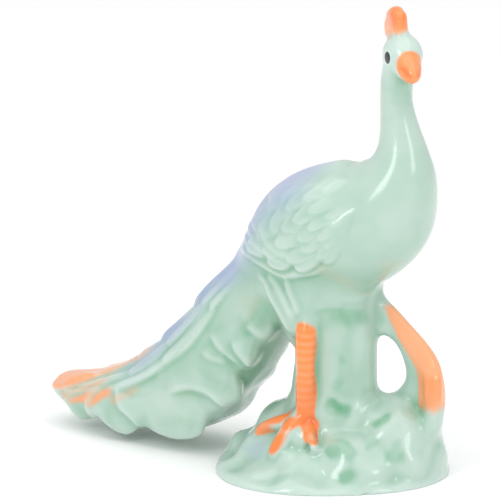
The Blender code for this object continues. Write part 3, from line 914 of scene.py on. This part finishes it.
def glaze(colours, ring_pitch):
    """Gloss glaze over sprayed underglaze colours; hollows hold more glaze, edges less, and painted shade
    darkens the feet of feathers and the undersides.
    """
    material = bpy.data.materials.new("figurine glaze")
    bench = Bench(material)
    place = bench.wire("ShaderNodeTexCoord", out="Object")
    paints = {name: bench.attribute(name) for name in PAINTS}

    def mottle(size, detail=2.0):
        sockets = {"Vector": place, "Scale": 1 / (size * PART), "Detail": detail}
        return bench.wire("ShaderNodeTexNoise", {}, sockets, out="Fac")

    cloud = bench.ramp(mottle(16), 0.35, 0.65)
    patch = mottle(4.5)
    turns = bench.dot(place, (0, 0, 2 * math.pi / ring_pitch)) + 3 * patch
    ring = (bench.sine(turns) * 0.5 + 0.5) * paints["rings"] * (0.3 + patch)
    # Pooled glaze and painted shade, mixed in the pooled green; they also thin the lavender and blue and
    # deepen the orange.
    pool_and_shade = paints["pool_and_shade"] * (0.8 + 0.4 * patch)
    base = bench.mix(0.16 * cloud, colours.green, colours.pooled_and_shade)
    base = bench.mix(0.9 * pool_and_shade, base, colours.pooled_and_shade)
    base = bench.mix(bench.ramp(paints["spot"] * (0.5 + patch), 0.0, 1.0), base, colours.pooled_and_shade)
    base = bench.mix(0.7 * paints["edge"], base, colours.thin)
    base = bench.mix(0.5 * paints["scuff"] * bench.ramp(patch, 0.35, 0.6), base, colours.scuff)
    base = bench.mix(paints["lavender"] * (1 - 0.5 * pool_and_shade), base, colours.lavender)
    base = bench.mix(paints["blue"] * (1 - 0.3 * pool_and_shade), base, colours.blue)
    warm = bench.mix(paints["pale"], colours.orange, colours.pale_orange)
    warm = bench.mix(0.36 * ring, warm, colours.pale_orange)
    warm = bench.mix(bench.ramp(paints["deep"] * 0.8 + 0.5 * pool_and_shade, 0.0, 1.0), warm, colours.deep_orange)
    base = bench.mix(bench.ramp(paints["orange"] + 0.3 * patch - 0.15, 0.1, 0.9), base, warm)
    for side in (1, -1):
        far = eye_distance(bench, place, side)
        base = bench.mix(0.6 * bench.ramp(far, 1.4, 1.15), base, colours.thin)
        base = bench.mix(bench.ramp(far, 1.06, 0.9), base, colours.eye)
    base = bench.mix(paints["bare"], base, colours.biscuit)
    relief = {"Height": 0.08 * mottle(2.2) + 0.16 * ring, "Strength": 0.6, "Distance": 0.5 * PART}
    ripple = bench.wire("ShaderNodeBump", {}, relief, out="Normal")
    gloss = {
        "Base Color": base,
        "Roughness": 0.42 + 0.35 * paints["bare"],
        "Specular IOR Level": 0.3,
        "Coat Weight": 1 - paints["bare"],
        "Coat Roughness": 0.14,
        "Coat IOR": 1.5,
        "Normal": ripple,
    }
    shader = bench.node("ShaderNodeBsdfPrincipled", {}, gloss)
    bench.node("ShaderNodeOutputMaterial", {}, {"Surface": shader.outputs[0]})
    return material


def level_foot(skin):
    """Flattens the underside on the floor and draws its rounded rim down to it."""
    z = skin.points[:, 2]
    drawn = (z - FLAT_BELOW) * RIM_BELOW / (RIM_BELOW - FLAT_BELOW)
    skin.points[:, 2] = np.where(z < FLAT_BELOW, 0, np.where(z < RIM_BELOW, drawn, z))


def one_underside(mesh):
    """Makes the flat underside a single face that isn't shaded round its rim."""
    form = bmesh.new()
    form.from_mesh(mesh)
    flat = [face for face in form.faces if all(vert.co.z < FLAT_WITHIN for vert in face.verts)]
    for face in bmesh.ops.dissolve_faces(form, faces=flat)["region"]:
        face.smooth = False
    form.to_mesh(mesh)
    form.free()


class FIGURINE_OT_casting(bpy.types.Operator):
    """Carves the fine skin of the figurine, paints it and glazes it"""

    bl_idname = "figurine.casting"
    bl_label = "Peacock casting"

    def execute(self, context):
        sizes = context.scene.figurine_casting
        skin = Skin(fine_skin(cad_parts["peacock"], sizes.grain))
        even_out(skin)
        carve(skin, sizes)
        pools(skin)
        paint(skin)
        level_foot(skin)
        skin.place()
        mesh = skin.mesh
        for name in PAINTS:
            layer = mesh.attributes.new(name, "FLOAT", "POINT")
            layer.data.foreach_set("value", skin.paint[name].astype(np.float32))
        mesh.name = "peacock casting"
        mesh.materials.clear()
        mesh.materials.append(glaze(context.scene.figurine_glaze, sizes.ring_pitch))
        mesh.shade_smooth()
        one_underside(mesh)
        piece = bpy.data.objects.new("peacock_casting", mesh)
        context.scene.collection.objects.link(piece)
        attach(piece, "root")
        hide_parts("peacock")
        return {"FINISHED"}


def white_world(scene, strength):
    """White surroundings that light the figurine from all sides."""
    world = bpy.data.worlds.new("studio")
    world.use_nodes = True
    sky = world.node_tree.nodes["Background"]
    sky.inputs["Color"].default_value = (1, 1, 1, 1)
    sky.inputs["Strength"].default_value = strength
    scene.world = world


def heading(turn, rise):
    """The way out from the object at a turn from its right side and a rise above the floor."""
    return Vector((math.sin(turn) * math.cos(rise), -math.cos(turn) * math.cos(rise), math.sin(rise)))


def standing(way, middle, distance):
    """Places a thing at a distance from a middle, turned to look back at it."""
    return Matrix.Translation(middle + way * distance) @ way.to_track_quat("Z", "Y").to_matrix().to_4x4()


def pale_floor(scene, settings):
    """A round floor under the figurine."""
    form = bmesh.new()
    bmesh.ops.create_circle(form, cap_ends=True, segments=settings.sides, radius=settings.floor_size / 2)
    mesh = bpy.data.meshes.new("floor")
    form.to_mesh(mesh)
    form.free()
    material = bpy.data.materials.new("floor")
    bench = Bench(material)
    sheen = {"Base Color": settings.floor_colour, "Roughness": 0.6}
    shader = bench.node("ShaderNodeBsdfPrincipled", {}, sheen)
    bench.node("ShaderNodeOutputMaterial", {}, {"Surface": shader.outputs[0]})
    mesh.materials.append(material)
    floor = bpy.data.objects.new("floor", mesh)
    scene.collection.objects.link(floor)


def soft_boxes(scene, power):
    """The lamps round and over the figurine."""
    middle = Vector((0, 0, LIT_HEIGHT))
    for turn, rise, distance, wide, high, share in SOFT_BOXES:
        lamp = bpy.data.lights.new("soft box", "AREA")
        lamp.shape = "RECTANGLE"
        lamp.size, lamp.size_y = wide, high
        lamp.energy = power * share
        box = bpy.data.objects.new("soft box", lamp)
        box.matrix_world = standing(heading(math.radians(turn), math.radians(rise)), middle, distance)
        scene.collection.objects.link(box)


def camera(scene, settings):
    """A long lens from the side that the picture shows."""
    back = heading(settings.view_turn, settings.view_height)
    right = Vector((math.cos(settings.view_turn), math.sin(settings.view_turn), 0))
    middle = (right * PICTURE_MIDDLE[0] + back.cross(right) * PICTURE_MIDDLE[1]) * PART
    lens = bpy.data.cameras.new("camera")
    lens.sensor_width = SENSOR
    lens.lens = SENSOR * settings.view_distance / (PICTURE_WIDTH * PART)
    seen = bpy.data.objects.new("camera", lens)
    seen.matrix_world = standing(back, middle, settings.view_distance)
    scene.collection.objects.link(seen)
    scene.camera = seen
    scene.view_settings.view_transform = "Standard"


class FIGURINE_OT_stage(bpy.types.Operator):
    """Sets out the floor, the soft boxes, the white surroundings and the camera"""

    bl_idname = "figurine.stage"
    bl_label = "Stage"

    def execute(self, context):
        scene = context.scene
        settings = scene.figurine_stage
        pale_floor(scene, settings)
        white_world(scene, settings.sky)
        soft_boxes(scene, settings.box_power)
        camera(scene, settings)
        return {"FINISHED"}


class FIGURINE_PT_panel(bpy.types.Panel):
    """Sizes, colours and the steps of the figurine"""

    bl_idname = "FIGURINE_PT_panel"
    bl_label = "Peacock figurine"
    bl_space_type = "VIEW_3D"
    bl_region_type = "UI"
    bl_category = "Figurine"

    def draw(self, context):
        scene = context.scene
        for group in (scene.figurine_casting, scene.figurine_glaze, scene.figurine_stage):
            for name in group.bl_rna.properties.keys():
                if name not in ("rna_type", "name"):
                    self.layout.prop(group, name)
        for operator in (FIGURINE_OT_casting, FIGURINE_OT_stage):
            self.layout.operator(operator.bl_idname)


CLASSES = (
    CastingSizes,
    GlazeColours,
    StageSettings,
    FIGURINE_OT_casting,
    FIGURINE_OT_stage,
    FIGURINE_PT_panel,
)


def register():
    for kind in CLASSES:
        bpy.utils.register_class(kind)
    bpy.types.Scene.figurine_casting = PointerProperty(type=CastingSizes)
    bpy.types.Scene.figurine_glaze = PointerProperty(type=GlazeColours)
    bpy.types.Scene.figurine_stage = PointerProperty(type=StageSettings)


def unregister():
    del bpy.types.Scene.figurine_stage
    del bpy.types.Scene.figurine_glaze
    del bpy.types.Scene.figurine_casting
    for kind in reversed(CLASSES):
        bpy.utils.unregister_class(kind)


def main():
    register()
    bpy.ops.figurine.casting()
    bpy.ops.figurine.stage()


if __name__ == "__main__":
    main()
